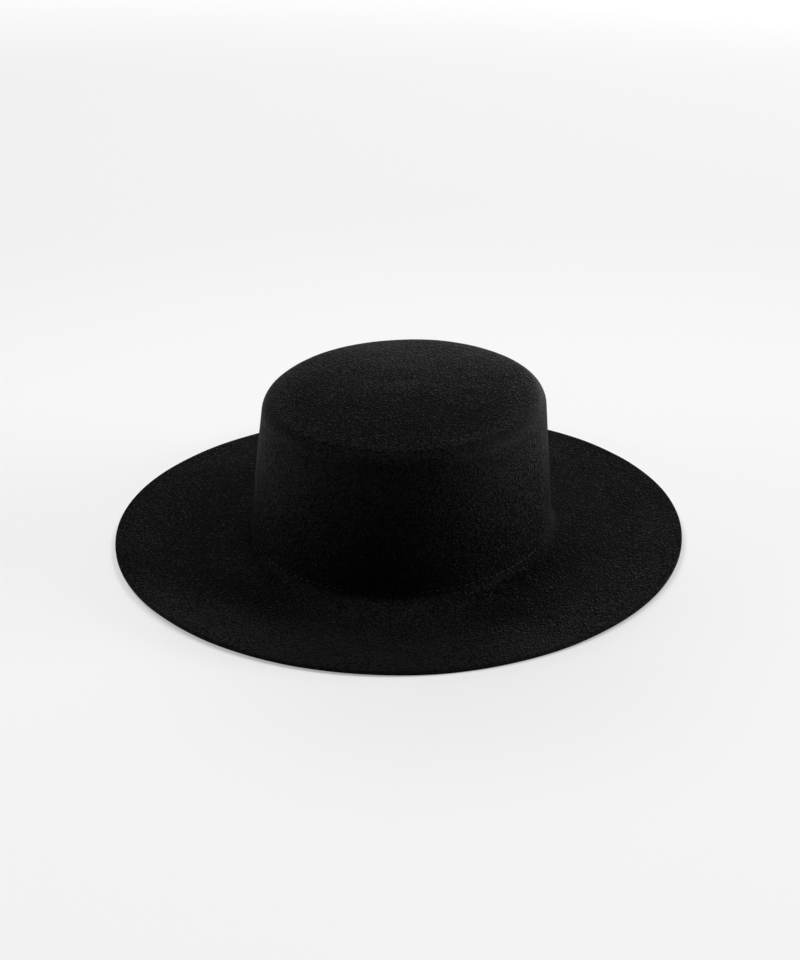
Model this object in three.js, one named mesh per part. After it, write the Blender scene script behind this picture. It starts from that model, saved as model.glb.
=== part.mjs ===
// Boater hat in black wool felt: crown and brim blocked from one piece, with a ribbon sweatband inside.
// Millimetres. X is the wearer's side to side, -Y the front, +Z up, and Z = 0 the underside of the brim.
import * as THREE from "three";

// Felt
const FELT_THICKNESS = 2.5;
const FELT_COLOUR = 0x151516;

// Crown: outside half sizes, side to side and front to back
const BASE_HALF_WIDTH = 89.8;
const BASE_HALF_LENGTH = 102.8;
const TOP_HALF_WIDTH = 83.9;
const TOP_HALF_LENGTH = 94.8;
const CROWN_HEIGHT = 91.6;
const CROWN_EDGE_RADIUS = 8.8;
const CROWN_DOME = 4.3;
// Halfway up, the wall stands out this far from a straight line.
const WALL_BULGE = 0.3;
// The crown isn't quite in the middle of the brim, and it leans a little to one side.
const CROWN_ASIDE = 0.9;
const CROWN_BACK = 2.3;
const CROWN_LEAN = 1.5;

// Brim
const BRIM_HALF_WIDTH = 170.2;
const BRIM_HALF_LENGTH = 180.8;
const BRIM_EDGE_RADIUS = 0.7;
const BRIM_FLAT_TO = 122.0;
// The cut edge touches the table across one diagonal and lifts off it across the other.
const BRIM_EDGE_LIFT = 2.8;
const BRIM_REST_ANGLE = THREE.MathUtils.degToRad(-61);

// Turn from crown wall to brim, measured on the outside of the felt
const BREAK_RADIUS = 5.5;
// Next to the turn the brim still rises a little, out to this width.
const SWEEP_WIDTH = 16.0;
const SWEEP_RISE = 0.9;

// Sweatband
const RIBBON_HEIGHT = 32.0;
const RIBBON_THICKNESS = 1.0;
const RIBBON_BOTTOM = 8.3;
const RIBBON_COLOUR = 0x101011;
const GAP = 0.3;

// Steps of the curves
const STEPS_AROUND = 96;
const STEPS_CROWN_EDGE = 8;
const STEPS_BREAK = 5;
const STEPS_BRIM_EDGE = 2;
const STEPS_TOP = 4;
const STEPS_WALL = 3;
const STEPS_SWEEP = 3;
const STEPS_RIBBON = 2;

const WALL_BOTTOM = FELT_THICKNESS + BREAK_RADIUS;
const WALL_TOP = CROWN_HEIGHT - CROWN_EDGE_RADIUS;
const BRIM_START = BASE_HALF_WIDTH + BREAK_RADIUS;
const FLAT_TOP_HALF_WIDTH = TOP_HALF_WIDTH - CROWN_EDGE_RADIUS;
// The domed top meets its rounded edge at this slope, so the two run on smoothly.
const DOME_EDGE_SLOPE = Math.atan((2 * CROWN_DOME) / FLAT_TOP_HALF_WIDTH);

// How far up the wall a height lies, from 0 at its bottom to 1 at its top.
function wallShare(height) {
  return THREE.MathUtils.clamp((height - WALL_BOTTOM) / (WALL_TOP - WALL_BOTTOM), 0, 1);
}

// How far out on the brim a radius lies, from 0 at the crown to 1 at the cut edge.
function brimShare(radius) {
  return THREE.MathUtils.clamp((radius - BRIM_START) / (BRIM_HALF_WIDTH - BRIM_START), 0, 1);
}

// Half width of the crown's outside at a height on its wall.
function wallHalfWidth(height) {
  const up = wallShare(height);
  return THREE.MathUtils.lerp(BASE_HALF_WIDTH, TOP_HALF_WIDTH, up) + WALL_BULGE * 4 * up * (1 - up);
}

// How much longer than wide the oval is at a radius and height, as a difference of half sizes.
function ovalExtra(radius, height) {
  const atBase = BASE_HALF_LENGTH - BASE_HALF_WIDTH;
  const atTop = TOP_HALF_LENGTH - TOP_HALF_WIDTH;
  const atEdge = BRIM_HALF_LENGTH - BRIM_HALF_WIDTH;
  const onCrown = THREE.MathUtils.lerp(atBase, atTop, wallShare(height));
  const extra = THREE.MathUtils.lerp(onCrown, atEdge, brimShare(radius));
  return extra * Math.min(1, radius / FLAT_TOP_HALF_WIDTH);
}

// The rise of the brim at a radius near the turn.
function sweepRise(radius) {
  return SWEEP_RISE * (1 - THREE.MathUtils.clamp((radius - BRIM_START) / SWEEP_WIDTH, 0, 1)) ** 2;
}

// The brim's profile points where it sweeps up to the turn, from there outwards, the first left out.
function sweepLine(level) {
  return Array.from({ length: STEPS_SWEEP }, (_, step) => {
    const radius = BRIM_START + (SWEEP_WIDTH * (step + 1)) / STEPS_SWEEP;
    return new THREE.Vector2(radius, level + sweepRise(radius));
  });
}

// The turn's profile points, from the wall down to the brim; the brim's rise makes it a little flatter than round.
function turnLine(radius) {
  return arc(BRIM_START, WALL_BOTTOM, radius, 180, 270, STEPS_BREAK).map((point) => {
    const down = (WALL_BOTTOM - point.y) / radius;
    return new THREE.Vector2(point.x, point.y + SWEEP_RISE * down);
  });
}

// Points on an arc in the profile plane, from one angle to another, ends included.
function arc(centreRadius, centreHeight, radius, fromDegrees, toDegrees, steps) {
  return Array.from({ length: steps + 1 }, (_, step) => {
    const degrees = THREE.MathUtils.lerp(fromDegrees, toDegrees, step / steps);
    const angle = THREE.MathUtils.degToRad(degrees);
    return new THREE.Vector2(
      centreRadius + radius * Math.cos(angle),
      centreHeight + radius * Math.sin(angle),
    );
  });
}

// The gently domed top, from its middle out to its rounded edge, that edge left out.
function topLine(edgeRadius) {
  const edgeHalfWidth = FLAT_TOP_HALF_WIDTH + edgeRadius * Math.sin(DOME_EDGE_SLOPE);
  const edgeHeight = WALL_TOP + edgeRadius * Math.cos(DOME_EDGE_SLOPE);
  return Array.from({ length: STEPS_TOP }, (_, step) => {
    const share = step / STEPS_TOP;
    return new THREE.Vector2(edgeHalfWidth * share, edgeHeight + CROWN_DOME * (1 - share ** 2));
  });
}

// The wall's profile points between its bottom and its top, both left out.
function wallLine(inside) {
  return Array.from({ length: STEPS_WALL - 1 }, (_, step) => {
    const height = THREE.MathUtils.lerp(WALL_BOTTOM, WALL_TOP, (step + 1) / STEPS_WALL);
    return new THREE.Vector2(wallHalfWidth(height) - inside, height);
  });
}

// A profile turned into a surface whose every level is an oval, with the crown's place and the brim's lift.
function ovalLathe(profile) {
  const geometry = new THREE.LatheGeometry(profile, STEPS_AROUND);
  const position = geometry.getAttribute("position");
  for (let i = 0; i < position.count; i++) {
    const across = position.getX(i);
    const along = position.getZ(i);
    const height = position.getY(i);
    const radius = Math.hypot(across, along);
    const angle = Math.atan2(-along, across);
    const extra = ovalExtra(radius, height);
    const inward = 1 - brimShare(radius);
    const outward = Math.max(0, (radius - BRIM_FLAT_TO) / (BRIM_HALF_WIDTH - BRIM_FLAT_TO));
    const lift = BRIM_EDGE_LIFT * outward ** 2 * Math.sin(angle - BRIM_REST_ANGLE) ** 2;
    position.setXYZ(
      i,
      radius * Math.cos(angle) + CROWN_ASIDE * inward + CROWN_LEAN * wallShare(height),
      (radius + extra) * Math.sin(angle) + CROWN_BACK * inward,
      height + lift,
    );
  }
  geometry.computeVertexNormals();
  return geometry;
}

function feltProfile() {
  const inside = FELT_THICKNESS;
  const innerEdge = CROWN_EDGE_RADIUS - inside;
  const brimMiddle = (BRIM_FLAT_TO + BRIM_HALF_WIDTH) / 2;
  const cut = BRIM_HALF_WIDTH - BRIM_EDGE_RADIUS;
  const edgeTop = 90 - THREE.MathUtils.radToDeg(DOME_EDGE_SLOPE);
  const under = [
    ...topLine(innerEdge),
    ...arc(FLAT_TOP_HALF_WIDTH, WALL_TOP, innerEdge, edgeTop, 0, STEPS_CROWN_EDGE - 1),
    ...wallLine(inside).reverse(),
    ...turnLine(BREAK_RADIUS + inside),
    ...sweepLine(0),
    new THREE.Vector2(BRIM_FLAT_TO, 0),
    new THREE.Vector2(brimMiddle, 0),
    ...arc(cut, BRIM_EDGE_RADIUS, BRIM_EDGE_RADIUS, 270, 360, STEPS_BRIM_EDGE),
  ];
  const over = [
    ...arc(cut, inside - BRIM_EDGE_RADIUS, BRIM_EDGE_RADIUS, 0, 90, STEPS_BRIM_EDGE),
    new THREE.Vector2(brimMiddle, inside),
    new THREE.Vector2(BRIM_FLAT_TO, inside),
    ...sweepLine(inside).reverse(),
    ...turnLine(BREAK_RADIUS).reverse(),
    ...wallLine(0),
    ...arc(FLAT_TOP_HALF_WIDTH, WALL_TOP, CROWN_EDGE_RADIUS, 0, edgeTop, STEPS_CROWN_EDGE),
    ...topLine(CROWN_EDGE_RADIUS).reverse(),
  ];
  return [...under, ...over];
}

function sweatbandProfile() {
  const backOffset = FELT_THICKNESS + GAP;
  const heights = Array.from(
    { length: STEPS_RIBBON + 1 },
    (_, step) => RIBBON_BOTTOM + (RIBBON_HEIGHT * step) / STEPS_RIBBON,
  );
  const back = heights.map((height) => new THREE.Vector2(wallHalfWidth(height) - backOffset, height));
  const face = back.map((point) => new THREE.Vector2(point.x - RIBBON_THICKNESS, point.y)).reverse();
  return [...back, ...face, back[0].clone()];
}

function piece(name, profile, colour, roughness) {
  const material = new THREE.MeshStandardMaterial({ color: colour, roughness, metalness: 0 });
  const mesh = new THREE.Mesh(ovalLathe(profile), material);
  mesh.name = name;
  return mesh;
}

const group = new THREE.Group();
group.add(piece("felt_body", feltProfile(), FELT_COLOUR, 0.95));
group.add(piece("sweatband", sweatbandProfile(), RIBBON_COLOUR, 0.8));

export default group;
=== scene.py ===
# %% [markdown]
# # A boater hat in black wool felt
#
# The real hat is one sheet of wool felt. It is steamed, pulled over a flat-topped wooden block and left to dry, so
# crown and brim are the same piece and every turn is soft. Inside, a ribbon sweatband is sewn round the base of
# the crown, and its stitches show outside as a fine line just above the brim.
#
# The solid model is loaded first and never changed. It says how big the hat is and where it stands. Blender adds
# what the solid leaves out: the soft turns, the slow unevenness of the felt, its fibres, the sewing and the weave.

# %% Load the solid model
import math

import bpy
import bmesh
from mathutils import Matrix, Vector


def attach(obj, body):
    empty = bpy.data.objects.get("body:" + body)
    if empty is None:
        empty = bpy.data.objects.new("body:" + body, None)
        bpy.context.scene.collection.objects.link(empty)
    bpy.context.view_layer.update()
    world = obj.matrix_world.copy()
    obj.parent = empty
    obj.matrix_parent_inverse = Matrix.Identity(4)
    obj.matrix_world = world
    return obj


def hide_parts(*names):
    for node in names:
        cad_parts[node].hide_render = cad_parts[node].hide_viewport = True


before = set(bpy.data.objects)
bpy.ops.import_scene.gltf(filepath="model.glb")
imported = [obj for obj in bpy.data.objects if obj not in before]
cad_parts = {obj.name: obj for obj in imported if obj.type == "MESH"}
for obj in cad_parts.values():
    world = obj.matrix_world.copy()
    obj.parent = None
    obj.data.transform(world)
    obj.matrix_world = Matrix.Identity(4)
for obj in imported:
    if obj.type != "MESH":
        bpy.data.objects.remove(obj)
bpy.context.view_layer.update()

# %% [markdown]
# ## Sizes
#
# All lengths are in metres. The hat's front points to -Y, and Z = 0 is the underside of the brim. Every level of
# the hat is an oval that is longer from front to back than from side to side, by nearly the same amount at each
# level, because a head is.

# %% Sizes of the hat
MM = 0.001
FELT = 2.5 * MM
BASE_HALF_WIDTH = 89.8 * MM
TOP_HALF_WIDTH = 83.9 * MM
EXTRA_LENGTH_AT_BASE = 13.0 * MM
EXTRA_LENGTH_AT_TOP = 10.9 * MM
EXTRA_LENGTH_AT_EDGE = 10.6 * MM
WALL_BULGE = 0.3 * MM
CROWN_HEIGHT = 91.6 * MM
CROWN_EDGE = 8.8 * MM
CROWN_DOME = 4.3 * MM
CROWN_PLACE = Vector((0.9 * MM, 2.3 * MM, 0.0))
CROWN_LEAN = Vector((1.5 * MM, 0.0, 0.0))
BRIM_HALF_WIDTH = 170.2 * MM
BRIM_FLAT_TO = 122.0 * MM
BRIM_LIFT = 2.8 * MM
BRIM_REST_ANGLE = math.radians(-61)
BREAK_RADIUS = 5.5 * MM
BRIM_START = BASE_HALF_WIDTH + BREAK_RADIUS
WALL_BOTTOM = FELT + BREAK_RADIUS
WALL_TOP = CROWN_HEIGHT - CROWN_EDGE
FLAT_TOP_HALF_WIDTH = TOP_HALF_WIDTH - CROWN_EDGE
DOME_SLOPE = math.atan(2 * CROWN_DOME / FLAT_TOP_HALF_WIDTH)
DOME_HALF_WIDTH = FLAT_TOP_HALF_WIDTH + CROWN_EDGE * math.sin(DOME_SLOPE)
DOME_FOOT = WALL_TOP + CROWN_EDGE * math.cos(DOME_SLOPE)


def share_between(value, start, end):
    """0 at the start, 1 at the end, held there outside."""
    return min(1.0, max(0.0, (value - start) / (end - start)))


def wall_share(height):
    return share_between(height, WALL_BOTTOM, WALL_TOP)


def brim_share(half_width):
    return share_between(half_width, BRIM_START, BRIM_HALF_WIDTH)


def wall_half_width(height):
    up = wall_share(height)
    return BASE_HALF_WIDTH + (TOP_HALF_WIDTH - BASE_HALF_WIDTH) * up + WALL_BULGE * 4 * up * (1 - up)


def oval_half_length(half_width, height):
    on_crown = EXTRA_LENGTH_AT_BASE + (EXTRA_LENGTH_AT_TOP - EXTRA_LENGTH_AT_BASE) * wall_share(height)
    extra = on_crown + (EXTRA_LENGTH_AT_EDGE - on_crown) * brim_share(half_width)
    return half_width + extra * min(1.0, half_width / FLAT_TOP_HALF_WIDTH)


def oval_centre(half_width, height):
    centre = CROWN_PLACE * (1 - brim_share(half_width)) + CROWN_LEAN * wall_share(height)
    centre.z = height
    return centre


def oval_through(place):
    """The half width of the oval that passes through a place, and the place's angle on it."""
    half_width = place.xy.length
    for _ in range(5):
        centre = oval_centre(half_width, place.z)
        across = place.x - centre.x
        along = (place.y - centre.y) * half_width / oval_half_length(half_width, place.z)
        half_width = max(0.01 * MM, math.hypot(across, along))
    return half_width, math.atan2(along, across)


print("inside of the crown at its base, mm:", round(2 * (BASE_HALF_WIDTH - FELT) / MM), "wide")

# %% [markdown]
# ## Camera
#
# The photograph looks down on the hat by 24 degrees, and the hat is turned a little, so its front points to the
# left of the camera. A long lens from a metre and a half away fits the outline of the brim. An empty would do to
# aim the camera, but one rotation worked out from the line of sight leaves nothing extra in the scene.

# %% Camera at the photograph's angle
CAMERA_AZIMUTH = math.radians(13.86)
CAMERA_HEIGHT_ANGLE = math.radians(24.3)
CAMERA_DISTANCE = 1.55
AIM = Vector((-0.0184, 0.0757, 0.0))
LENS = 91.3

towards_camera = Vector((
    math.sin(CAMERA_AZIMUTH) * math.cos(CAMERA_HEIGHT_ANGLE),
    -math.cos(CAMERA_AZIMUTH) * math.cos(CAMERA_HEIGHT_ANGLE),
    math.sin(CAMERA_HEIGHT_ANGLE),
))
bpy.ops.object.select_all(action="DESELECT")
bpy.ops.object.camera_add(location=AIM + towards_camera * CAMERA_DISTANCE)
camera = bpy.context.object
camera.name = "photo_camera"
camera.rotation_mode = "QUATERNION"
camera.rotation_quaternion = (-towards_camera).to_track_quat("-Z", "Y")
camera.data.lens = LENS
camera.data.sensor_width = 36.0
camera.data.clip_start = 0.05
camera.data.clip_end = 50.0
bpy.context.scene.camera = camera
print("camera at", [round(c, 3) for c in camera.location])

# %% [markdown]
# ## Materials as sums
#
# A material is a graph of nodes. Wiring it by hand takes many lines, so one small class wraps a socket and lets the
# graph be written as arithmetic: `1 - mask` adds a Math node, and `wires.add(...)` adds any other node.

# %% A socket that can be used in sums


class Wire:
    def __init__(self, tree, socket=None):
        self.tree = tree
        self.socket = socket

    def add(self, kind, settings=None, inputs=None, output=0):
        """Adds a node: its kind, its settings first, then values or wires for its inputs."""
        node = self.tree.nodes.new("ShaderNode" + kind)
        for name, value in (settings or {}).items():
            setattr(node, name, value)
        for name, value in (inputs or {}).items():
            if isinstance(value, Wire):
                self.tree.links.new(value.socket, node.inputs[name])
            else:
                node.inputs[name].default_value = value
        return Wire(self.tree, node.outputs[output])

    def maths(self, operation, first, second=0.0):
        return self.add("Math", {"operation": operation}, {0: first, 1: second})

    def __add__(self, other):
        return self.maths("ADD", self, other)

    __radd__ = __add__

    def __sub__(self, other):
        return self.maths("SUBTRACT", self, other)

    def __rsub__(self, other):
        return self.maths("SUBTRACT", other, self)

    def __mul__(self, other):
        return self.maths("MULTIPLY", self, other)

    __rmul__ = __mul__

    def __truediv__(self, other):
        return self.maths("DIVIDE", self, other)

    def parts(self):
        """A place or map taken apart into its X, Y and Z."""
        node = self.add("SeparateXYZ", inputs={"Vector": self}).socket.node
        return [Wire(self.tree, output) for output in node.outputs]

    def distance(self, centre):
        """How far a place is from a fixed centre."""
        return self.add("VectorMath", {"operation": "DISTANCE"}, {0: self, 1: centre}, output=1)

    def between(self, low, high):
        """0 below low, 1 above high, smooth between."""
        return self.add(
            "MapRange",
            {"interpolation_type": "SMOOTHSTEP"},
            {"Value": self, "From Min": low, "From Max": high},
        )

    def noise(self, place, size, detail=2.0, roughness=0.5, kind="FBM"):
        """Noise whose blobs are about `size` metres across."""
        return self.add(
            "TexNoise",
            {"noise_type": kind, "normalize": True},
            {"Vector": place, "Scale": 1.0 / size, "Detail": detail, "Roughness": roughness},
        )

    def relief(self, height, strength, distance, under=None):
        """A Normal bumped by a height, on top of another relief if one is given."""
        inputs = {"Strength": strength, "Distance": distance, "Height": height}
        if under:
            inputs["Normal"] = under
        return self.add("Bump", {}, inputs)


def new_material(name):
    """An empty material with its shader and output wired up."""
    material = bpy.data.materials.new(name)
    material.use_nodes = True
    tree = material.node_tree
    tree.nodes.clear()
    output = tree.nodes.new("ShaderNodeOutputMaterial")
    shader = tree.nodes.new("ShaderNodeBsdfPrincipled")
    tree.links.new(shader.outputs[0], output.inputs["Surface"])
    return material, shader, Wire(tree)


def mix_shaders(wires, factor, first, second):
    """Sends two shaders to the output, mixed: all first where the factor is 0, all second where it is 1."""
    mix = wires.add("MixShader", inputs={0: factor})
    wires.tree.links.new(first.outputs[0], mix.socket.node.inputs[1])
    wires.tree.links.new(second.outputs[0], mix.socket.node.inputs[2])
    output = next(node for node in wires.tree.nodes if node.type == "OUTPUT_MATERIAL")
    wires.tree.links.new(mix.socket, output.inputs["Surface"])


def feed(wires, shader, **sockets):
    """Joins wires to the shader, so that Base_Color=... feeds its Base Color."""
    for name, wire in sockets.items():
        wires.tree.links.new(wire.socket, shader.inputs[name.replace("_", " ")])


def grey(wires, value):
    """The same value as red, green and blue."""
    return wires.add("CombineColor", {"mode": "RGB"}, {"Red": value, "Green": value, "Blue": value})


print("shader helper ready")

# %% [markdown]
# ## Black wool felt
#
# Felt has no threads. Its wool fibres lie in every direction and hold each other, so close up it is a mat of fine
# curved lines, and from further off it is a grain with soft mottling where the mat is thicker or thinner. It reflects
# very little straight back, but fibres that stand up catch light from the side, so its edges look dusty grey.
#
# One shader could be varied in colour alone, but then every fibre would shine alike. Two shaders are mixed instead: a
# dense black mat, and the raised pile with more sheen. Ridged noise, bent by another noise, draws the fibres, and
# it is stretched from front to back, as a brush leaves the nap.
#
# The pile's cover is also painted by place as light and shade: less of it, so darker, on the brim near the crown and
# low on the wall, and more of it, so lighter, towards the brim's edge and front, up the wall, on the crown's edge, on
# the back of the top and in the corner between crown and brim, whose colour is painted lighter too. The function below
# works out both from the place.

# %% Where the pile's cover paints light and shade
# Zones of the hat, each as the two measures between which it fades in. Those named FADES fade out there.
MIDDLE = (0, 0, 0)
WALL_HEIGHT = (5 * MM, 8.5 * MM)
UP_THE_WALL = (12 * MM, 84 * MM)
EDGE_HEIGHT = (80 * MM, 87 * MM)
TOP_HEIGHT = (90 * MM, 94 * MM)
CORNER_FORWARDS = (25 * MM, 85 * MM)
CORNER_FADES = (105 * MM, 130 * MM)
BRIM_OUTWARDS = (105 * MM, 165 * MM)
BRIM_FORWARDS = (75 * MM, 150 * MM)
LEFT_PART_FORWARDS = (60 * MM, 110 * MM)
LEFT_PART_LEFTWARDS = (20 * MM, 60 * MM)
EDGE_FORWARDS = (50 * MM, 90 * MM)
TOP_BACKWARDS = (-110 * MM, 110 * MM)
TOP_RIGHTWARDS = (-20 * MM, 80 * MM)
# A painted highlight spot near the middle of the top, and the distances over which it fades out.
PAINTED_HIGHLIGHT_SPOT = (2 * MM, 1.5 * MM, 96 * MM)
PAINTED_HIGHLIGHT_FADES = (4 * MM, 12 * MM)

# How much more or less pile is painted in a zone than on the rest of the hat, as painted light and shade.
PAINTED_PILE_BY_ZONE = {
    "brim": -0.095,
    "brim outwards": 0.09,
    "brim forwards": 0.13,
    "brim's left part": -0.07,
    "wall": -0.055,
    "up the wall": 0.12,
    "edge": 0.10,
    "edge forwards": -0.10,
    "top": -0.09,
    "top backwards": 0.16,
    "top rightwards": -0.04,
    "painted highlight spot": 0.07,
    "corner": 0.08,
}
# How much lighter the colour in the corner between crown and brim is painted: painted light.
CORNER_PAINTED_LIGHT = 0.6


def painted_light_and_shade(wires, place):
    """Painted light and shade: how much more pile is painted at a place than on the rest of the hat, and how much
    lighter the corner's colour is painted.
    """
    across, along, height = place.parts()
    forwards = 0 - along
    leftwards = 0 - across
    outwards = place.distance(MIDDLE)
    above_brim = height.between(*WALL_HEIGHT)
    on_top = height.between(*TOP_HEIGHT)
    on_edge = height.between(*EDGE_HEIGHT) - on_top
    near_crown = 1 - outwards.between(*CORNER_FADES)
    corner = (1 - above_brim) * forwards.between(*CORNER_FORWARDS) * near_crown

    # Each term is painted light or shade: darker on the inner brim, the brim's left front and low on the wall; lighter
    # at the brim's edge and front, the crown's edge and the back of the top.
    brim = (
        PAINTED_PILE_BY_ZONE["brim outwards"] * outwards.between(*BRIM_OUTWARDS)
        + PAINTED_PILE_BY_ZONE["brim forwards"] * forwards.between(*BRIM_FORWARDS)
        + PAINTED_PILE_BY_ZONE["brim"]
        + PAINTED_PILE_BY_ZONE["brim's left part"]
        * forwards.between(*LEFT_PART_FORWARDS)
        * leftwards.between(*LEFT_PART_LEFTWARDS)
    )
    wall = PAINTED_PILE_BY_ZONE["up the wall"] * height.between(*UP_THE_WALL) + PAINTED_PILE_BY_ZONE["wall"]
    edge = PAINTED_PILE_BY_ZONE["edge forwards"] * forwards.between(*EDGE_FORWARDS) + PAINTED_PILE_BY_ZONE["edge"]
    top = (
        PAINTED_PILE_BY_ZONE["top backwards"] * along.between(*TOP_BACKWARDS)
        + PAINTED_PILE_BY_ZONE["top rightwards"] * across.between(*TOP_RIGHTWARDS)
        + PAINTED_PILE_BY_ZONE["top"]
        + PAINTED_PILE_BY_ZONE["painted highlight spot"] * (1 - place.distance(PAINTED_HIGHLIGHT_SPOT).between(*PAINTED_HIGHLIGHT_FADES))
    )
    on_wall = above_brim - on_top
    raised = (1 - above_brim) * brim + on_wall * wall + on_edge * edge + on_top * top
    # The second value is the corner's painted light, which lightens the colour there.
    return raised + PAINTED_PILE_BY_ZONE["corner"] * corner, CORNER_PAINTED_LIGHT * corner


print("zones with more or less pile:", len(PAINTED_PILE_BY_ZONE))

# %% Felt material
MAT = {"black": 0.0013, "shine": 0.005, "sheen": 0.008}
PILE = {"black": 0.0047, "shine": 0.029, "sheen": 0.059}
GRAIN = 0.9 * MM
FIBRE = 1.5 * GRAIN
MOTTLE = 9 * MM
CLOUD = 45 * MM
NAP_STRETCH = 2.1
WARPS_PER_METRE = 420.0
WARP_REACH = 1.6 * MM
PILE_SHOWS = (0.18, 0.49)
FINE_RELIEF = 1.0 * MM
SOFT_RELIEF = 0.8 * MM
FELT_ROUGHNESS = 0.6
SHEEN_ROUGHNESS = 0.3


def make_felt(name):
    """The felt: fibres, grain and mottling decide where pile covers the mat, and how rough and raised it is. Painted
    light and shade by place is added to the pile's cover and the colour.
    """
    material, mat, wires = new_material(name)
    pile = material.node_tree.nodes.new("ShaderNodeBsdfPrincipled")
    place = wires.add("TexCoord", output=3)
    nap = wires.add("VectorMath", {"operation": "MULTIPLY"}, {0: place, 1: (1, 1 / NAP_STRETCH, 1)})
    warp = wires.add("TexNoise", {}, {"Vector": nap, "Scale": WARPS_PER_METRE, "Detail": 1.0}, output=1)
    bent = wires.add(
        "VectorMath",
        {"operation": "MULTIPLY_ADD"},
        {0: warp, 1: (WARP_REACH, WARP_REACH, WARP_REACH), 2: nap},
    )
    fibres = wires.noise(bent, FIBRE, 2.0, 0.6, "RIDGED_MULTIFRACTAL")
    grain = wires.noise(nap, GRAIN, 1.0, 0.6)
    mottle = wires.noise(place, MOTTLE, 3.0, 0.55)
    cloud = wires.noise(place, CLOUD, 2.0, 0.5)
    patches = 0.4 * (mottle - 0.5) + 0.6 * (cloud - 0.5)
    # Painted light and shade by place: it shifts the pile's cover and paints the corner's colour lighter.
    painted_pile, painted_corner_light = painted_light_and_shade(wires, place)
    raised = (0.5 * (fibres - 0.5) + grain + 0.15 * patches + painted_pile).between(*PILE_SHOWS)
    tone = 1 + 0.4 * patches + 0.35 * (grain - 0.5) + painted_corner_light
    height = 0.45 * fibres + 0.55 * grain
    fine = wires.relief(height, 0.8, FINE_RELIEF)
    soft = wires.relief(mottle, 0.2, SOFT_RELIEF, fine)
    roughness = FELT_ROUGHNESS + 0.3 * (grain - 0.5) + 0.15 * (mottle - 0.5)
    for shader, look in ((mat, MAT), (pile, PILE)):
        feed(wires, shader, Base_Color=grey(wires, tone * look["black"]), Roughness=roughness, Normal=soft)
        shader.inputs["Specular IOR Level"].default_value = look["shine"]
        shader.inputs["Sheen Weight"].default_value = look["sheen"]
        shader.inputs["Sheen Roughness"].default_value = SHEEN_ROUGHNESS
    mix_shaders(wires, raised, mat, pile)
    return material


felt = make_felt("black wool felt")
print("felt has", len(felt.node_tree.nodes), "nodes")

# %% [markdown]
# ## Ribbon and thread
#
# The sweatband is a corded ribbon. Its thick cords run across it from edge to edge, about one a millimetre, and a
# fine warp closes over them. The mesh carries a map in metres, along the ribbon and across it, so the cords follow
# the ribbon wherever it goes. The sewing thread is twisted, which fine slanting stripes along each stitch show.

# %% Ribbon and thread materials
RIBBON_MAP = "along and across"
RIBBON_WIDTH = 32.0 * MM
RIBBON_BLACK = 0.007
RIBBON_RELIEF = 0.25 * MM
CORD_PITCH = 0.95 * MM
CORD_WANDER = 0.25
SELVEDGE = 1.1 * MM
SELVEDGE_TURN = 0.4 * MM
THREAD_BLACK = 0.003
FLUFF_LIGHT = 0.005
TWISTS_PER_METRE = 900.0
TWIST_RELIEF = 0.1 * MM


def make_ribbon(name):
    material, shader, wires = new_material(name)
    along, across, _ = wires.add("UVMap", {"uv_map": RIBBON_MAP}).parts()
    place = wires.add("TexCoord", output=3)
    phase = along / CORD_PITCH + CORD_WANDER * wires.noise(place, 6 * MM, 2.0)
    cords = phase.maths("PINGPONG", phase, 0.5) * 2
    warp = wires.noise(place, 0.35 * MM, 2.0, 0.6)
    aside = across - RIBBON_WIDTH / 2
    woven_to = RIBBON_WIDTH / 2 - SELVEDGE
    edge = aside.maths("ABSOLUTE", aside).between(woven_to, woven_to + SELVEDGE_TURN)
    rubbing = wires.noise(place, 14 * MM, 3.0, 0.6)
    tone = 0.6 + 0.5 * cords + 0.5 * (warp - 0.5) + 0.7 * (rubbing - 0.5)
    height = cords * (1 - edge) + 0.7 * edge + 0.25 * warp
    feed(
        wires,
        shader,
        Base_Color=grey(wires, tone * RIBBON_BLACK),
        Roughness=0.5 + 0.25 * (warp - 0.5) + 0.2 * (rubbing - 0.5),
        Normal=wires.relief(height, 0.7, RIBBON_RELIEF),
    )
    shader.inputs["Specular IOR Level"].default_value = 0.25
    shader.inputs["Sheen Weight"].default_value = 0.1
    shader.inputs["Sheen Roughness"].default_value = 0.4
    return material


def make_thread(name):
    material, shader, wires = new_material(name)
    place = wires.add("TexCoord", output=3)
    twist = wires.add(
        "TexWave",
        {"bands_direction": "DIAGONAL"},
        {"Vector": place, "Scale": TWISTS_PER_METRE, "Distortion": 1.0},
    )
    fluff = wires.noise(place, 0.6 * MM, 2.0)
    feed(
        wires,
        shader,
        Base_Color=grey(wires, THREAD_BLACK + FLUFF_LIGHT * fluff),
        Roughness=0.5 + 0.2 * (fluff - 0.5),
        Normal=wires.relief(twist, 0.5, TWIST_RELIEF),
    )
    shader.inputs["Specular IOR Level"].default_value = 0.12
    shader.inputs["Sheen Weight"].default_value = 0.1
    return material


ribbon_cloth = make_ribbon("black corded ribbon")
thread = make_thread("black sewing thread")
print("ribbon has", len(ribbon_cloth.node_tree.nodes), "nodes, thread", len(thread.node_tree.nodes))

# %% [markdown]
# ## Helpers for modelling by hand
#
# The modelling below uses the same tools as the menus: add a primitive, go to edit mode, select by place, extrude
# and scale. Two helpers keep it short. Everything is deselected first, because a tool acts on all that is selected.

# %% Select by place


def start_piece(name):
    """Names the primitive that was just added and returns it."""
    piece = bpy.context.object
    piece.name = name
    piece.data.name = name
    return piece


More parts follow.
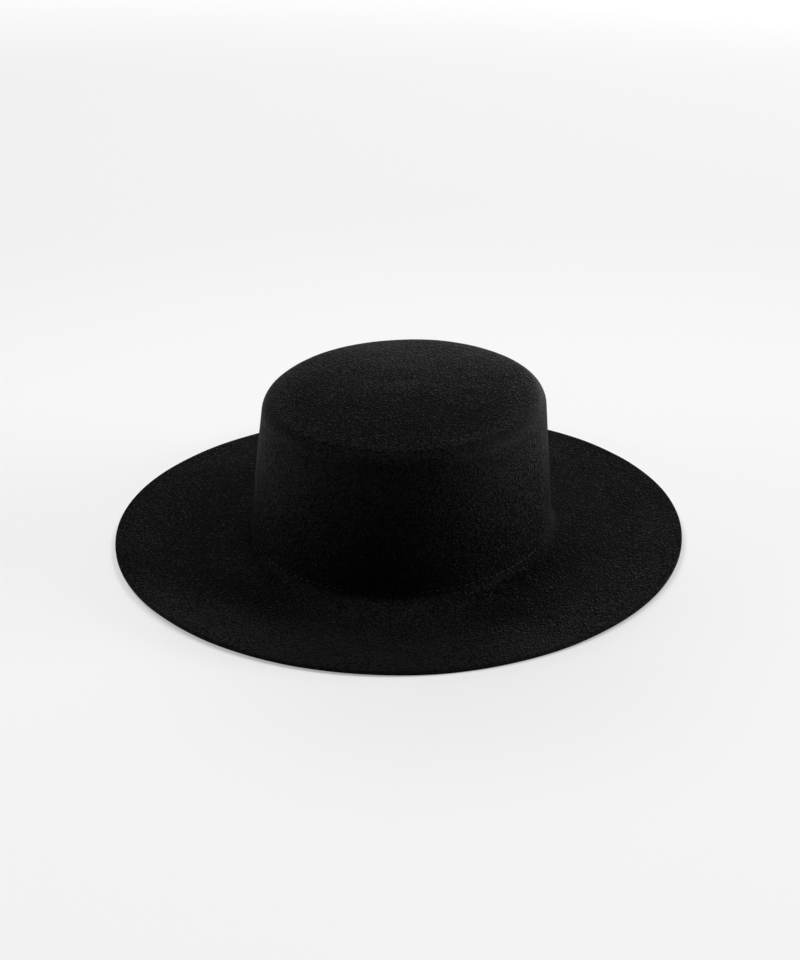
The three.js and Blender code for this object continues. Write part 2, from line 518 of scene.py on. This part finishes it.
def select_vertices(piece, test):
    """In edit mode, selects the vertices whose place passes the test, and what lies between them."""
    mesh = bmesh.from_edit_mesh(piece.data)
    mesh.select_mode = {"VERT"}
    for vertex in mesh.verts:
        vertex.select = test(vertex.co)
    mesh.select_flush_mode()
    bmesh.update_edit_mesh(piece.data)
    return sum(vertex.select for vertex in mesh.verts)


def deselect_objects():
    bpy.ops.object.select_all(action="DESELECT")


print("helpers ready")

# %% [markdown]
# ## The blocked felt
#
# Felt on a block could be made by cloth simulation, or by a lathe. Here it is drawn the way the hatter pulls it: one
# oval ring at the brim's cut edge is extruded again and again, inwards over the brim, up the wall and over the edge
# of the crown. Each ring is scaled in X and Y by itself, so the oval keeps its extra length all the way.

# %% Rings from the cut edge to the top
AROUND = 144
STEPS_BRIM = 14
STEPS_BREAK = 5
STEPS_WALL = 12
STEPS_EDGE = 8
STEPS_TOP = 9
STEPS_LEFT_OPEN = 6
SWEEP_WIDTH = 16 * MM
SWEEP_RISE = 0.9 * MM
GROOVE_HEIGHT = 8.9 * MM
RIDGE_HEIGHT = 9.9 * MM
SEAM_RINGS = (GROOVE_HEIGHT, 9.4 * MM, RIDGE_HEIGHT, 10.7 * MM, 12.2 * MM)


def felt_rings():
    """The outside of the felt as (half width, height), from the brim's edge to the flat top."""
    rings = []
    for step in range(STEPS_BRIM + 1):
        half_width = BRIM_HALF_WIDTH + (BRIM_START - BRIM_HALF_WIDTH) * step / STEPS_BRIM
        near_crown = 1 - share_between(half_width, BRIM_START, BRIM_START + SWEEP_WIDTH)
        rings.append((half_width, FELT + SWEEP_RISE * near_crown**2))
    for step in range(1, STEPS_BREAK + 1):
        angle = math.radians(90 * step / STEPS_BREAK)
        rise = BREAK_RADIUS - SWEEP_RISE
        rings.append((BRIM_START - BREAK_RADIUS * math.sin(angle), WALL_BOTTOM - rise * math.cos(angle)))
    for height in SEAM_RINGS:
        rings.append((wall_half_width(height), height))
    for step in range(1, STEPS_WALL + 1):
        height = SEAM_RINGS[-1] + (WALL_TOP - SEAM_RINGS[-1]) * step / STEPS_WALL
        rings.append((wall_half_width(height), height))
    for step in range(1, STEPS_EDGE + 1):
        angle = (math.pi / 2 - DOME_SLOPE) * step / STEPS_EDGE
        half_width = FLAT_TOP_HALF_WIDTH + CROWN_EDGE * math.cos(angle)
        rings.append((half_width, WALL_TOP + CROWN_EDGE * math.sin(angle)))
    for step in range(1, STEPS_TOP):
        share = 1 - step / (STEPS_TOP + STEPS_LEFT_OPEN)
        rings.append((DOME_HALF_WIDTH * share, DOME_FOOT + CROWN_DOME * (1 - share**2)))
    return rings


rings = felt_rings()
deselect_objects()
first_width, first_height = rings[0]
bpy.ops.mesh.primitive_circle_add(vertices=AROUND, radius=first_width, location=(0, 0, first_height))
bpy.ops.object.transform_apply(location=True, rotation=False, scale=False)
felt_shell = start_piece("felt_shell")
bpy.ops.object.mode_set(mode="EDIT")
bpy.ops.mesh.select_all(action="SELECT")
bpy.ops.transform.resize(value=(1, oval_half_length(first_width, first_height) / first_width, 1))
for (old_width, old_height), (new_width, new_height) in zip(rings, rings[1:]):
    centre = oval_centre(new_width, new_height)
    shift = centre - oval_centre(old_width, old_height)
    longer = oval_half_length(new_width, new_height) / oval_half_length(old_width, old_height)
    bpy.ops.mesh.extrude_edges_move(TRANSFORM_OT_translate={"value": shift})
    bpy.ops.transform.resize(value=(new_width / old_width, longer, 1), center_override=centre)
print("felt:", len(rings), "rings of", AROUND, "points")

# %% [markdown]
# The last ring is still open. A fan of triangles to one middle point would pinch the shading, so the hole is filled
# with a grid of squares, which are then lifted to the gentle dome of the top.

# %% Close the top
_, last_height = rings[-1]
bpy.ops.mesh.fill_grid(span=AROUND // 4)


def dome_height(place):
    half_width, _ = oval_through(place)
    return DOME_FOOT + CROWN_DOME * (1 - (half_width / DOME_HALF_WIDTH) ** 2)


mesh = bmesh.from_edit_mesh(felt_shell.data)
for vertex in mesh.verts:
    if vertex.co.z > last_height - 0.01 * MM and vertex.select:
        vertex.co.z = dome_height(vertex.co)
bmesh.update_edit_mesh(felt_shell.data)
bpy.ops.mesh.select_all(action="SELECT")
bpy.ops.mesh.normals_make_consistent(inside=False)
highest = max(bmesh.from_edit_mesh(felt_shell.data).faces, key=lambda face: face.calc_center_median().z)
if highest.normal.z < 0:
    bpy.ops.mesh.flip_normals()
bpy.ops.object.mode_set(mode="OBJECT")
print("felt shell:", len(felt_shell.data.polygons), "faces")

# %% [markdown]
# ## Lift and unevenness
#
# The brim's cut edge touches the table across one diagonal and lifts off it by nearly 3 mm across the other.
# The felt also has soft hollows from steaming, a few centimetres wide. Sculpting could do both. A Displace modifier
# is steadier: a weight painted on each point says how far it lifts, and a cloud texture gives the hollows.

# %% Lift the brim's edge and make the felt uneven
SEAM_HOLDS = 15 * MM
LEAST_UNEVEN = 0.15
CLOUD_LEVEL = 0.3
HOLLOWS = (("wide hollows", 52 * MM, 0.8 * MM), ("small hollows", 16 * MM, 0.2 * MM))


def apply_modifier(piece, kind, name, **settings):
    """Adds a modifier with these settings and applies it."""
    deselect_objects()
    piece.select_set(True)
    bpy.context.view_layer.objects.active = piece
    modifier = piece.modifiers.new(name, kind)
    for key, value in settings.items():
        setattr(modifier, key, value)
    bpy.ops.object.modifier_apply(modifier=name)


def weigh(piece, name, weight_at):
    """A vertex group whose weights come from each point's place."""
    group = piece.vertex_groups.new(name=name)
    for vertex in piece.data.vertices:
        group.add([vertex.index], weight_at(vertex.co), "REPLACE")


def brim_lift_share(place):
    """None where the brim rests, growing outwards and towards the diagonal that lifts."""
    half_width, angle = oval_through(place)
    outwards = share_between(half_width, BRIM_FLAT_TO, BRIM_HALF_WIDTH)
    return outwards**2 * math.sin(angle - BRIM_REST_ANGLE) ** 2


def clouds(name, size):
    """A soft cloud texture with blobs of this size."""
    texture = bpy.data.textures.new(name, "CLOUDS")
    texture.noise_scale = size
    texture.noise_depth = 1
    return texture


def unevenness(place):
    """Full everywhere except near the seam, where the sewing holds the felt."""
    half_width, _ = oval_through(place)
    away = math.hypot(half_width - BASE_HALF_WIDTH, place.z - GROOVE_HEIGHT)
    return LEAST_UNEVEN + (1 - LEAST_UNEVEN) * min(1.0, away / SEAM_HOLDS)


weigh(felt_shell, "lift", brim_lift_share)
weigh(felt_shell, "uneven", unevenness)
apply_modifier(
    felt_shell, "DISPLACE", "lift", direction="Z", mid_level=0.0, strength=BRIM_LIFT, vertex_group="lift"
)
for hollows, across, depth in HOLLOWS:
    apply_modifier(
        felt_shell,
        "DISPLACE",
        hollows,
        texture=clouds(hollows, across),
        texture_coords="LOCAL",
        mid_level=CLOUD_LEVEL,
        strength=depth,
        vertex_group="uneven",
    )
print("brim edge lifted by up to", round(BRIM_LIFT / MM, 1), "mm")

# %% [markdown]
# ## Thickness
#
# Up to here the felt is a skin. Solidify gives it its 2.5 mm towards the inside, and a bevel on the two edges of the
# brim takes off the sharpness that scissors leave.

# %% Give the felt its thickness
CUT_EDGE_BEVEL = 0.5 * MM
SHARP_ANGLE = math.radians(60)

apply_modifier(
    felt_shell, "SOLIDIFY", "thickness", thickness=FELT, offset=-1.0, use_even_offset=True, use_rim=True
)
apply_modifier(
    felt_shell,
    "BEVEL",
    "cut edge",
    width=CUT_EDGE_BEVEL,
    segments=2,
    limit_method="ANGLE",
    angle_limit=SHARP_ANGLE,
)
print("felt with thickness:", len(felt_shell.data.polygons), "faces")

# %% [markdown]
# ## The seam line
#
# The sweatband's stitches pull the felt in all round, just above the turn into the brim, and the crown's wall bulges
# a little over them. That is the fine light line with a dark one below it. The outer rings at the two heights are
# selected by place and pushed in and out along their normals, and a subdivision then rounds everything.

# %% Press in the seam
GROOVE_DEPTH = 0.75 * MM
RIDGE_RISE = 0.4 * MM
HEIGHT_REACH = 0.2 * MM
WALL_REACH = 1.2 * MM


def push_ring(piece, height, rise):
    """Moves the outer ring of points at this height of the wall along its normals."""
    bpy.context.view_layer.objects.active = piece
    bpy.ops.object.mode_set(mode="EDIT")

    def on_ring(place):
        half_width, _ = oval_through(place)
        off_wall = abs(half_width - wall_half_width(height))
        return abs(place.z - height) < HEIGHT_REACH and off_wall < WALL_REACH

    count = select_vertices(piece, on_ring)
    bpy.ops.transform.shrink_fatten(value=rise)
    bpy.ops.object.mode_set(mode="OBJECT")
    return count


deselect_objects()
felt_shell.select_set(True)
groove_points = push_ring(felt_shell, GROOVE_HEIGHT, -GROOVE_DEPTH)
ridge_points = push_ring(felt_shell, RIDGE_HEIGHT, RIDGE_RISE)
apply_modifier(felt_shell, "SUBSURF", "smooth", levels=1, render_levels=1)
deselect_objects()
print("seam:", groove_points, "points pushed in,", ridge_points, "pushed out")

# %% Hand the felt over
felt_shell.select_set(True)
bpy.context.view_layer.objects.active = felt_shell
bpy.ops.object.shade_smooth()
felt_shell.data.materials.append(felt)
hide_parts("felt_body")
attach(felt_shell, "root")
print("felt piece:", len(felt_shell.data.polygons), "faces")

# %% [markdown]
# ## The sweatband
#
# The ribbon is sewn inside the crown just above the brim and stands up against the wall. Its ends lap at the back.
# An upright line, one ribbon wide, is spun round nearly a full turn, and its free end is then extruded on for a
# few steps, moved inwards by the ribbon's thickness, so that it lies over the start. Each row of points is then
# scaled to the oval of the wall at its height.

# %% Spin the ribbon
RIBBON_BOTTOM = 7.7 * MM
RIBBON_THICKNESS = 0.7 * MM
RIBBON_GAP = 0.35 * MM
RIBBON_ROWS = 8
LAP_STEPS = 10
LAP_MOVES_IN_AT = 1
LAP_GAP = 0.2 * MM
SPIN_STEPS = 176
SPIN_DEGREES = 352
STEP_DEGREES = SPIN_DEGREES / SPIN_STEPS

spin_radius = BASE_HALF_WIDTH - FELT - RIBBON_GAP
deselect_objects()
bpy.ops.mesh.primitive_plane_add(
    size=RIBBON_WIDTH,
    location=(0, spin_radius + RIBBON_WIDTH / 2, RIBBON_BOTTOM + RIBBON_WIDTH / 2),
    rotation=(0, math.pi / 2, 0),
)
bpy.ops.object.transform_apply(location=True, rotation=True, scale=False)
sweatband = start_piece("sweatband_ribbon")
bpy.ops.object.mode_set(mode="EDIT")
select_vertices(sweatband, lambda place: place.y > spin_radius + RIBBON_WIDTH / 2)
bpy.ops.mesh.delete(type="VERT")
bpy.ops.mesh.select_all(action="SELECT")
bpy.ops.mesh.subdivide(number_cuts=RIBBON_ROWS - 1)
bpy.ops.mesh.select_all(action="SELECT")
bpy.ops.mesh.spin(steps=SPIN_STEPS, angle=math.radians(SPIN_DEGREES), center=(0, 0, 0), axis=(0, 0, 1))
for step in range(LAP_STEPS):
    bpy.ops.mesh.extrude_edges_move()
    bpy.ops.transform.rotate(
        value=math.radians(STEP_DEGREES), orient_axis="Z", orient_type="GLOBAL", center_override=(0, 0, 0)
    )
    if step == LAP_MOVES_IN_AT:
        inwards = (spin_radius - RIBBON_THICKNESS - LAP_GAP) / spin_radius
        bpy.ops.transform.resize(value=(inwards, inwards, 1), center_override=(0, 0, 0))
mesh = bmesh.from_edit_mesh(sweatband.data)
lap_angles = [math.degrees(math.atan2(vertex.co.y, vertex.co.x)) for vertex in mesh.verts if vertex.select]
print("ribbon:", len(mesh.verts), "points, free end at", round(lap_angles[0], 1), "degrees, start at 90")

# %% [markdown]
# The thickness goes on the side away from the wall. The ribbon's upper edge isn't sewn, so it waves a little.

# %% Fit the ribbon to the wall
ROW_REACH = 0.5 * MM
MEAN_RADIUS = BASE_HALF_WIDTH + 3 * MM
WAVE_SIZE = 30 * MM
WAVE_DEPTH = 2.2 * MM
SELVEDGE_BEVEL = 0.25 * MM
SMOOTH_UP_TO = math.radians(50)

bpy.ops.mesh.select_all(action="SELECT")
bpy.ops.mesh.normals_make_consistent(inside=False)
mesh = bmesh.from_edit_mesh(sweatband.data)
mesh.faces.ensure_lookup_table()
first_face = mesh.faces[0]
if first_face.normal.dot(first_face.calc_center_median()) > 0:
    bpy.ops.mesh.flip_normals()
for row in range(RIBBON_ROWS + 1):
    height = RIBBON_BOTTOM + RIBBON_WIDTH * row / RIBBON_ROWS
    outside = wall_half_width(height)
    wider = (outside - FELT - RIBBON_GAP) / spin_radius
    longer = (oval_half_length(outside, height) - FELT - RIBBON_GAP) / spin_radius
    select_vertices(sweatband, lambda place: abs(place.z - height) < ROW_REACH)
    bpy.ops.transform.resize(value=(wider, longer, 1), center_override=(0, 0, height))
    bpy.ops.transform.translate(value=oval_centre(outside, height) * Vector((1, 1, 0)))
bpy.ops.object.mode_set(mode="OBJECT")

along_map = sweatband.data.uv_layers.new(name=RIBBON_MAP)
for loop in sweatband.data.loops:
    place = sweatband.data.vertices[loop.vertex_index].co
    _, angle = oval_through(place)
    along_map.data[loop.index].uv = (angle * MEAN_RADIUS, place.z - RIBBON_BOTTOM)

weigh(sweatband, "upper edge", lambda place: max(0.0, (place.z - RIBBON_BOTTOM) / RIBBON_WIDTH) ** 2)
apply_modifier(
    sweatband,
    "DISPLACE",
    "wave",
    texture=clouds("ribbon wave", WAVE_SIZE),
    texture_coords="LOCAL",
    mid_level=CLOUD_LEVEL,
    strength=WAVE_DEPTH,
    vertex_group="upper edge",
)
apply_modifier(sweatband, "SOLIDIFY", "thickness", thickness=RIBBON_THICKNESS, offset=1.0)
apply_modifier(sweatband, "BEVEL", "selvedge", width=SELVEDGE_BEVEL, segments=2, limit_method="ANGLE")
deselect_objects()
sweatband.select_set(True)
bpy.context.view_layer.objects.active = sweatband
bpy.ops.object.shade_smooth_by_angle(angle=SMOOTH_UP_TO)
sweatband.data.materials.append(ribbon_cloth)
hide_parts("sweatband")
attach(sweatband, "root")
print("sweatband:", len(sweatband.data.polygons), "faces")

# %% [markdown]
# ## The sewing
#
# One row of thread goes round through felt and ribbon. Each stitch is a short capsule whose ends dip into the cloth.
# It is modelled once from a small ball, pulled apart in the middle, and copied along the oval: outside in the
# groove, and inside on the ribbon's face, turned round so that its ends dip the other way. No two stitches lie quite
# alike, so each one is tilted, turned, raised and sunk a little, by sines that never come round together.

# %% Model one stitch
STITCH_PITCH = 4.6 * MM
STITCH_HALF_LENGTH = 1.25 * MM
STITCH_END = 1 * MM
STITCH_DIP = 0.3 * MM
THREAD_RADIUS = 0.24 * MM
ACROSS_MIDDLE = 0.02 * MM

deselect_objects()
bpy.ops.mesh.primitive_uv_sphere_add(
    segments=8, ring_count=8, radius=THREAD_RADIUS, location=(0, 0, 0), rotation=(0, math.pi / 2, 0)
)
bpy.ops.object.transform_apply(location=False, rotation=True, scale=False)
stitch = start_piece("stitch")
bpy.ops.object.mode_set(mode="EDIT")
for side in (-1, 1):
    select_vertices(stitch, lambda place: place.x * side > ACROSS_MIDDLE)
    bpy.ops.transform.translate(value=(side * STITCH_HALF_LENGTH, 0, 0))
select_vertices(stitch, lambda place: abs(place.x) > STITCH_END)
bpy.ops.transform.translate(value=(0, STITCH_DIP, 0))
bpy.ops.object.mode_set(mode="OBJECT")
bpy.ops.object.shade_smooth()
stitch.data.materials.append(thread)
print("stitch:", len(stitch.data.polygons), "faces")

# %% Copy it round the crown, outside and inside
OVAL_CORNERS = 1440
OUTSIDE_DEPTH = 0.34 * MM
INSIDE_DEPTH = FELT + RIBBON_GAP + RIBBON_THICKNESS + 0.05 * MM
SWAY_PACE, SINK_PACE, TURN_PACE = 2.4, 1.1, 1.7
SWAY = 0.06 * MM
SWAY_TILT = 0.04
SINK = 0.07 * MM
TURN = 0.02


def oval_places(half_width, half_length, spacing):
    """Places spaced evenly round an oval, each with the angle at which its line runs."""
    corners = []
    for number in range(OVAL_CORNERS + 1):
        angle = math.radians(360 * number / OVAL_CORNERS)
        corners.append(Vector((half_width * math.cos(angle), half_length * math.sin(angle), 0)))
    reach = [0.0]
    for before, after in zip(corners, corners[1:]):
        reach.append(reach[-1] + (after - before).length)
    count = round(reach[-1] / spacing)
    places, corner = [], 0
    for step in range(count):
        wanted = reach[-1] * step / count
        while reach[corner + 1] < wanted:
            corner += 1
        line = corners[corner + 1] - corners[corner]
        share = (wanted - reach[corner]) / line.length
        places.append((corners[corner] + line * share, math.atan2(line.y, line.x)))
    return places


outside = wall_half_width(GROOVE_HEIGHT)
centre = oval_centre(outside, GROOVE_HEIGHT)
stitches = []
for depth, facing in ((OUTSIDE_DEPTH, 0.0), (INSIDE_DEPTH, math.pi)):
    half_width = outside - depth
    half_length = oval_half_length(outside, GROOVE_HEIGHT) - depth
    for number, (place, angle) in enumerate(oval_places(half_width, half_length, STITCH_PITCH)):
        copy = stitch.copy()
        copy.data = stitch.data.copy()
        bpy.context.collection.objects.link(copy)
        sway = math.sin(SWAY_PACE * number)
        sink = SINK * (1 + math.sin(SINK_PACE * number))
        turn = TURN * math.cos(TURN_PACE * number)
        copy.location = centre + place + place.normalized() * -sink + Vector((0, 0, SWAY * sway))
        copy.rotation_euler = (0, SWAY_TILT * sway, angle + facing + turn)
        stitches.append(copy)
deselect_objects()
stitch.select_set(True)
bpy.ops.object.delete()
for copy in stitches:
    copy.select_set(True)
bpy.context.view_layer.objects.active = stitches[0]
bpy.ops.object.join()
sewing = start_piece("band_sewing")
bpy.ops.object.transform_apply(location=True, rotation=True, scale=True)
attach(sewing, "root")
print("sewing:", len(stitches), "stitches,", len(sewing.data.polygons), "faces")

# %% [markdown]
# ## Floor and light
#
# The hat lies on a white studio floor, evenly bright, with only a faint shadow. Two big panels high on the left and
# the right light its top and brim, two low ones graze the sides of the crown, the right one more strongly, and two
# weak ones stand behind. Nothing shines from the camera's side, so the front stays black.
#
# A floor that only reflects would show a dark shadow and fade with distance. This one half reflects and half glows.
# The glow is weak at the hat, a little stronger just round it, and strong far off, where the panels' light falls away.

# %% Floor
FLOOR_SIZE = 60.0
FLOOR_LEVEL = -0.2 * MM
FLOOR_GREY = (0.5, 0.5, 0.5, 1)
FLOOR_EMISSION = 0.9
GLOW_CENTRE = (0.08, -0.12, 0.0)
GLOW = 0.36
# Each change of the glow as the distances between which it comes in, and its amount.
GLOW_CHANGES = ((0.0, 0.22, 0.08), (0.42, 0.8, -0.056), (1.2, 2.6, 0.5))

deselect_objects()
bpy.ops.mesh.primitive_plane_add(size=FLOOR_SIZE, location=(0, 0, FLOOR_LEVEL))
floor = start_piece("floor")
floor_material, floor_shader, floor_wires = new_material("white floor")
glow_distance = floor_wires.add("TexCoord", output=3).distance(GLOW_CENTRE)
glow = GLOW
for start, end, change in GLOW_CHANGES:
    glow = glow + change * glow_distance.between(start, end)
feed(floor_wires, floor_shader, Emission_Color=grey(floor_wires, glow))
floor_shader.inputs["Base Color"].default_value = FLOOR_GREY
floor_shader.inputs["Emission Strength"].default_value = FLOOR_EMISSION
floor_shader.inputs["Roughness"].default_value = 1.0
floor_shader.inputs["Specular IOR Level"].default_value = 0.0
floor.data.materials.append(floor_material)
print("floor:", FLOOR_SIZE, "m wide")

# %% Light
PANEL_AIM = Vector((0, 0, 50 * MM))
# Name, direction and height angle in degrees, distance, width and height in metres, power in watts.
PANELS = (
    ("left panel", -90, 65, 3.2, 2.1, 1.3, 55.0),
    ("right panel", 90, 65, 3.2, 2.1, 1.3, 44.0),
    ("low left panel", -90, 5, 3.6, 2.4, 0.75, 80.0),
    ("low right panel", 90, 5, 3.6, 2.4, 0.75, 165.0),
    ("back panel", 180, 20, 2.4, 1.6, 1.0, 10.0),
    ("low back panel", 150, 5, 2.4, 1.6, 0.5, 15.0),
)


def add_panel(name, direction, height_angle, distance, width, height, power):
    """A soft panel that faces the hat. Direction 0 is the camera's side, and 90 is its right."""
    turn = math.radians(direction) + CAMERA_AZIMUTH
    lift = math.radians(height_angle)
    towards = Vector((math.sin(turn) * math.cos(lift), -math.cos(turn) * math.cos(lift), math.sin(lift)))
    deselect_objects()
    bpy.ops.object.light_add(type="AREA", location=towards * distance + PANEL_AIM)
    panel = bpy.context.object
    panel.name = name
    panel.rotation_mode = "QUATERNION"
    panel.rotation_quaternion = (-towards).to_track_quat("-Z", "Y")
    panel.data.shape = "RECTANGLE"
    panel.data.size = width
    panel.data.size_y = height
    panel.data.energy = power


for panel_values in PANELS:
    add_panel(*panel_values)

world = bpy.data.worlds.new("studio")
world.use_nodes = True
world.node_tree.nodes["Background"].inputs["Color"].default_value = (1, 1, 1, 1)
world.node_tree.nodes["Background"].inputs["Strength"].default_value = 0.0
bpy.context.scene.world = world
bpy.context.scene.view_settings.view_transform = "Standard"
bpy.context.scene.view_settings.look = "None"
print("light:", len(PANELS), "panels")
